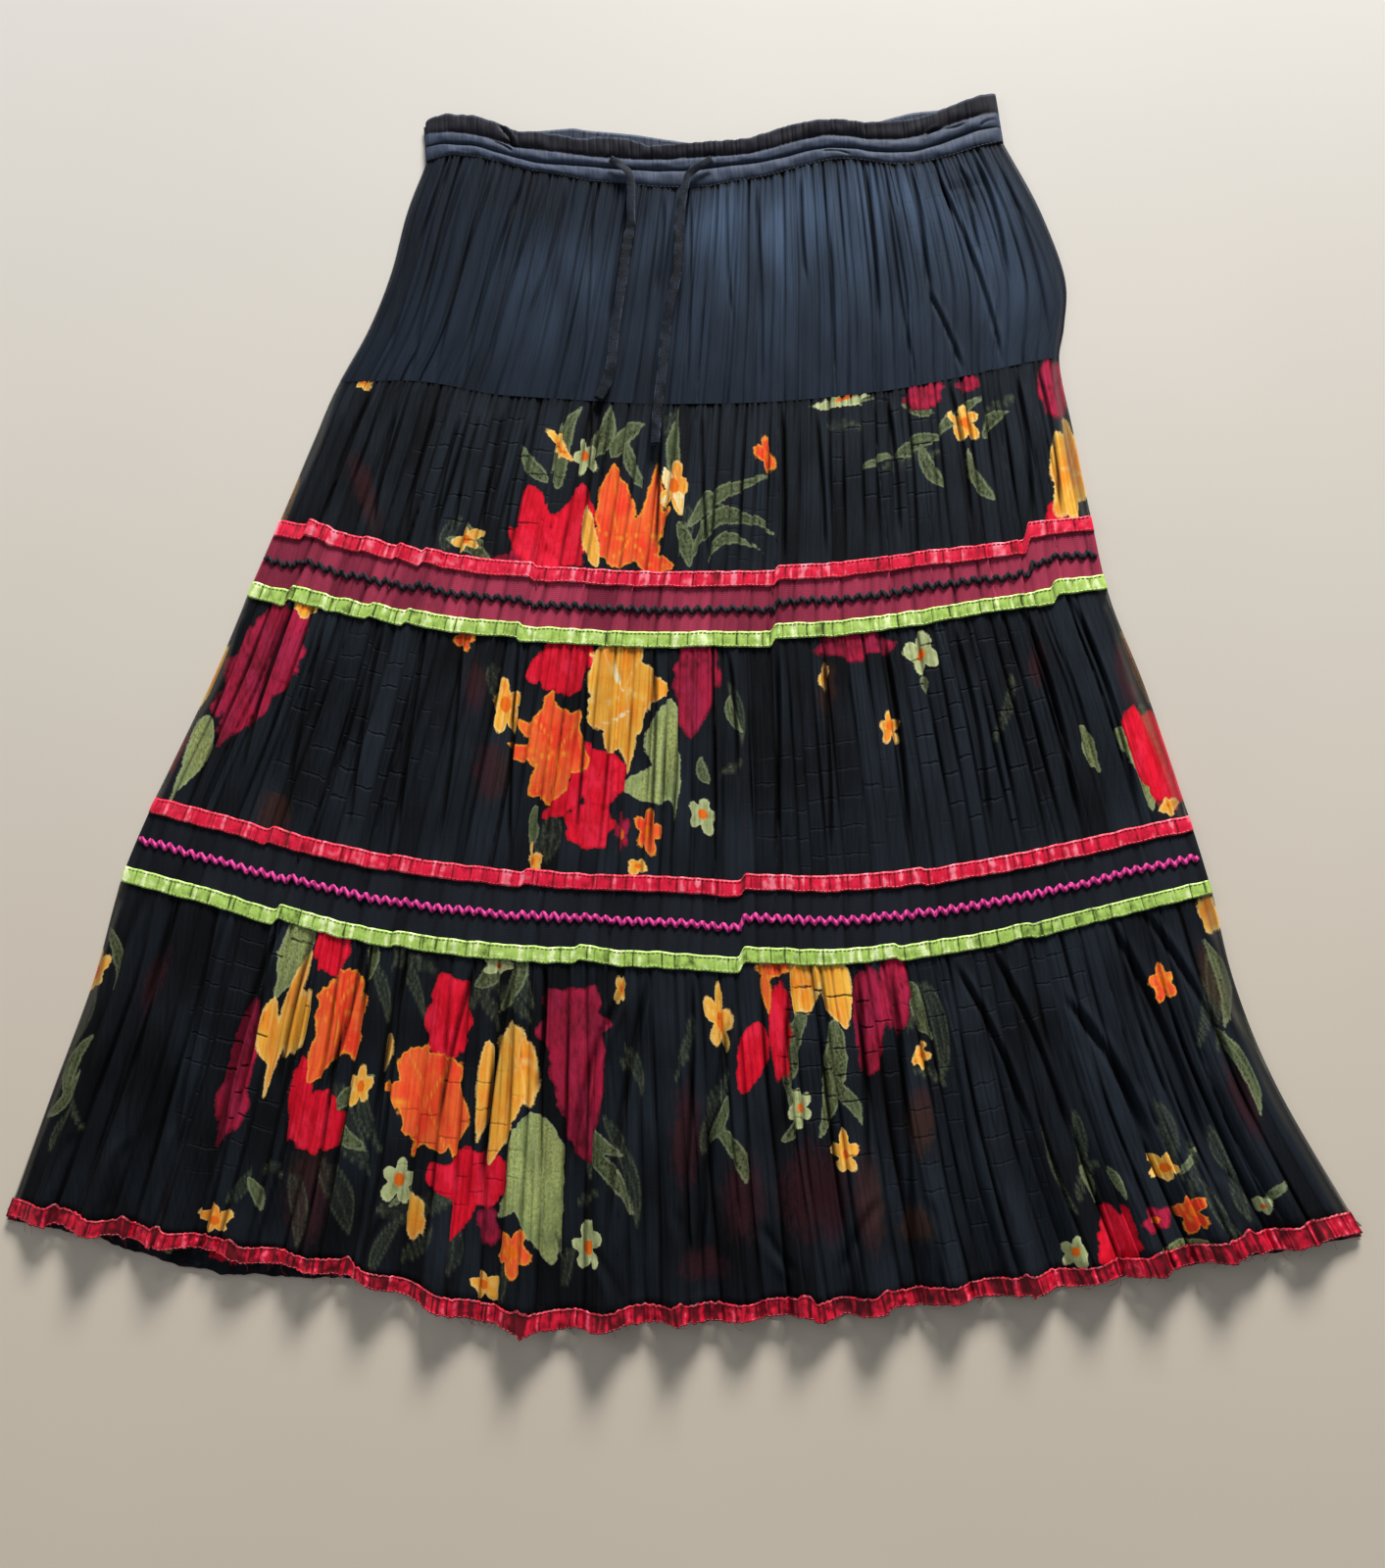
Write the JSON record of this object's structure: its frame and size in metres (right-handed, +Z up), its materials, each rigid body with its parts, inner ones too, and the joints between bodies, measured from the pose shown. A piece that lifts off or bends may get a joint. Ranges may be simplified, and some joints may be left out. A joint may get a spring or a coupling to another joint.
{
  "type": "tiered maxi skirt",
  "caption": "Long tiered cloth skirt laid out flat, with an elastic drawstring waist, gathered tiers, ribbon and rickrack bands and a waved hem.",
  "frame": {"origin": "on the floor plane, below the middle of the laid-out skirt's box", "axes": "+X to the right across the front, +Y towards the waist, +Z up out of the front"},
  "size_m": [0.95, 0.894, 0.0204],
  "materials": {
    "charcoal_cloth": "crinkled navy-charcoal cloth with a soft sheen",
    "printed_chiffon": "black crinkled chiffon printed with flowers and leaves",
    "burgundy_cloth": "plain burgundy cloth",
    "black_cloth": "plain black cloth",
    "red_satin": "puckered crimson satin ribbon",
    "green_satin": "puckered grass-green satin ribbon",
    "black_braid": "black rickrack braid",
    "magenta_braid": "magenta rickrack braid"
  },
  "bodies": {
    "root": {"waistband_front": "charcoal_cloth", "waistband_back": "charcoal_cloth", "yoke_front": "charcoal_cloth", "yoke_back": "charcoal_cloth", "drawstring_left": "charcoal_cloth", "drawstring_right": "charcoal_cloth", "tier_two_front": "printed_chiffon", "tier_two_back": "printed_chiffon", "tier_three_front": "printed_chiffon", "tier_three_back": "printed_chiffon", "tier_four_front": "printed_chiffon", "tier_four_back": "printed_chiffon", "band_one_front": "burgundy_cloth", "band_one_back": "burgundy_cloth", "band_two_front": "black_cloth", "band_two_back": "black_cloth", "red_ribbon_one_front": "red_satin", "red_ribbon_one_back": "red_satin", "red_ribbon_two_front": "red_satin", "red_ribbon_two_back": "red_satin", "hem_ribbon_front": "red_satin", "hem_ribbon_back": "red_satin", "green_ribbon_one_front": "green_satin", "green_ribbon_one_back": "green_satin", "green_ribbon_two_front": "green_satin", "green_ribbon_two_back": "green_satin", "black_rickrack_front": "black_braid", "black_rickrack_back": "black_braid", "magenta_rickrack_front": "magenta_braid", "magenta_rickrack_back": "magenta_braid"}
  },
  "joints": []
}
